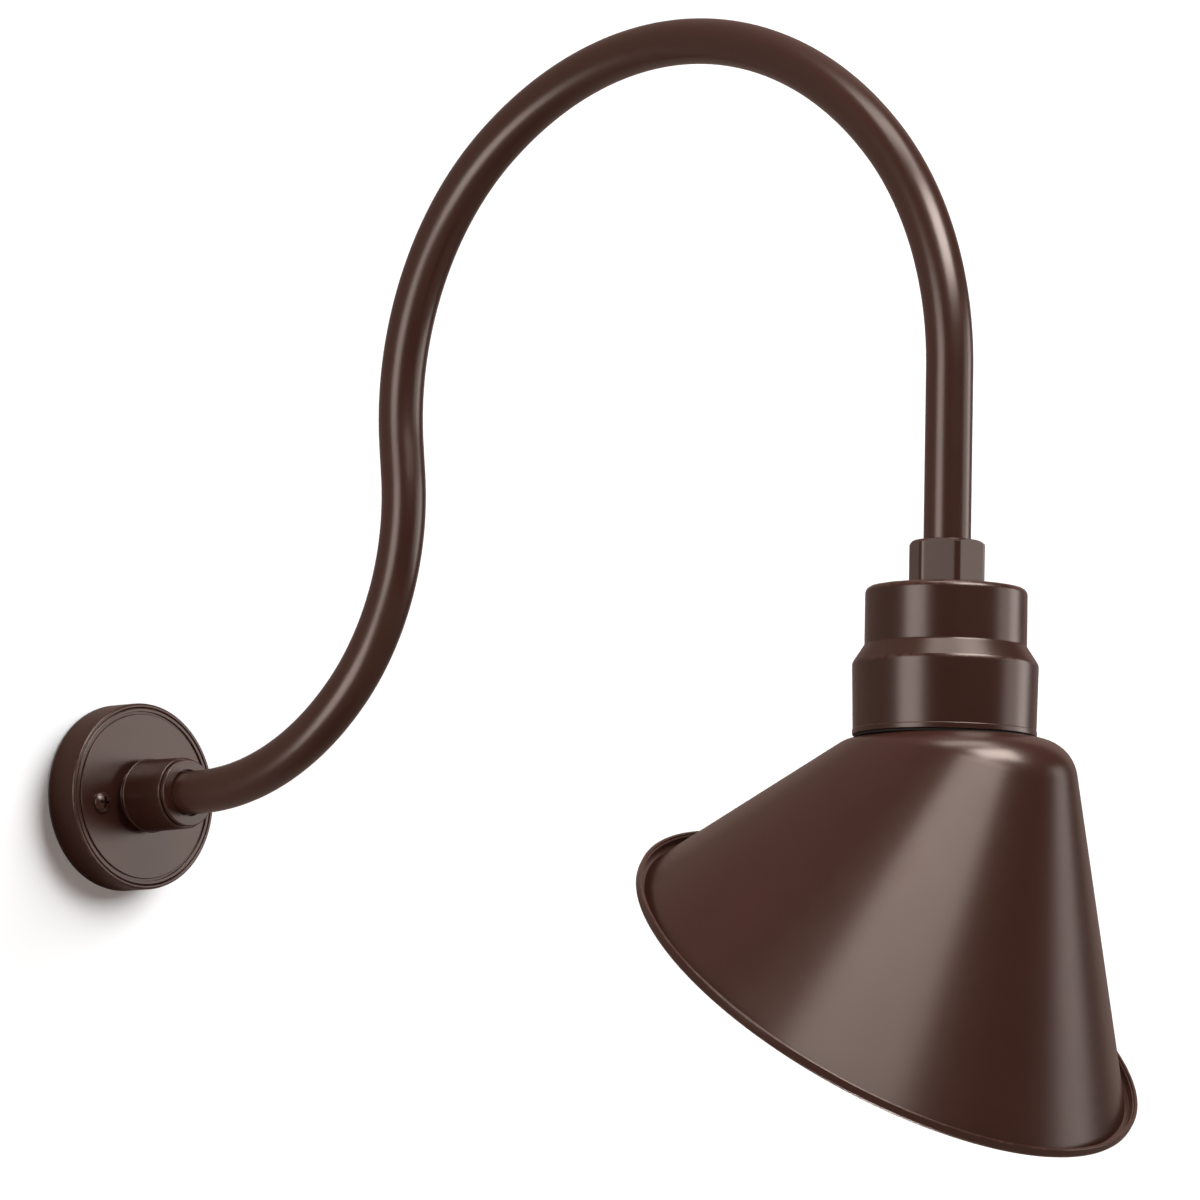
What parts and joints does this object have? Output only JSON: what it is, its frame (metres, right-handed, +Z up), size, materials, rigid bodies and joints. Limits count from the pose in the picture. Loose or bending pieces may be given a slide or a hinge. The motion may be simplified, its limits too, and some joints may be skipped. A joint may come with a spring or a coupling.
{
  "type": "gooseneck wall sconce",
  "caption": "Wall light with a round wall plate, a tall looping gooseneck pipe arm and an angled round shade under a stepped socket housing that turns on the stem.",
  "frame": {"origin": "centre of the round wall plate, on the wall", "axes": "+Z up, the wall is the plane Y = 0 and -Y points into the room, +X is right seen from the room; the arm lies in the plane X = 0"},
  "size_m": [0.312, 0.7871, 0.6696],
  "materials": {
    "bronze_paint": "satin dark bronze powder coat",
    "zinc_steel": "zinc plated",
    "green_screw": "green dyed zinc",
    "brass": "bare",
    "porcelain": "glazed white",
    "foam": "closed-cell foam",
    "black_rubber": "matt black",
    "cable_sheath": "matt dark grey",
    "black_insulation": "satin",
    "white_insulation": "satin",
    "green_insulation": "satin",
    "orange_plastic": "moulded",
    "cap_aluminium": "bare, rolled thread",
    "board_white": "white solder mask",
    "dark_insulator": "glossy",
    "white_plastic": "smooth",
    "opal_plastic": "frosted opal"
  },
  "bodies": {
    "wall_mount": {"wall_gasket": "foam", "mounting_bracket": "zinc_steel", "wall_plate": "bronze_paint", "canopy_screws": "bronze_paint", "ground_screw": "green_screw", "arm_hub": "bronze_paint", "hub_locknut": "zinc_steel", "hub_set_screw": "bronze_paint", "hub_bushing": "black_rubber", "gooseneck_arm": "bronze_paint", "stem_bushing": "black_rubber", "supply_cable": "cable_sheath", "wall_line_lead": "black_insulation", "wall_neutral_lead": "white_insulation", "ground_lead": "green_insulation", "wire_connectors": "orange_plastic"},
    "stem_nut": {"stem_nut": "bronze_paint"},
    "head": {"housing": "bronze_paint", "shade_seal": "black_rubber", "shade": "bronze_paint", "clamp_ring": "zinc_steel", "clamp_screws": "zinc_steel", "holder_bracket": "zinc_steel", "bracket_screws": "zinc_steel", "holder_screws": "zinc_steel", "lampholder_body": "porcelain", "lampholder_shell": "brass", "centre_contact": "brass", "terminal_screws": "brass", "socket_line_lead": "black_insulation", "socket_neutral_lead": "white_insulation"},
    "lamp": {"lamp_cap": "cap_aluminium", "lamp_insulator": "dark_insulator", "lamp_button": "brass", "lamp_body": "white_plastic", "lamp_board": "board_white", "lamp_diffuser": "opal_plastic"}
  },
  "joints": [
    {"name": "head_aim", "type": "hinge", "parent": "wall_mount", "child": "head", "pos_m": [0, -0.70196, 0], "axis": [0, 0, 1], "range_deg": [-170, 170]},
    {"name": "nut_turn", "type": "hinge", "parent": "wall_mount", "child": "stem_nut", "pos_m": [0, -0.70196, 0.09], "axis": [0, 0, 1], "range_deg": [0, 360]},
    {"name": "lamp_out", "type": "slide", "parent": "head", "child": "lamp", "axis": [0, 0, -1], "range_m": [0, 0.12]}
  ]
}
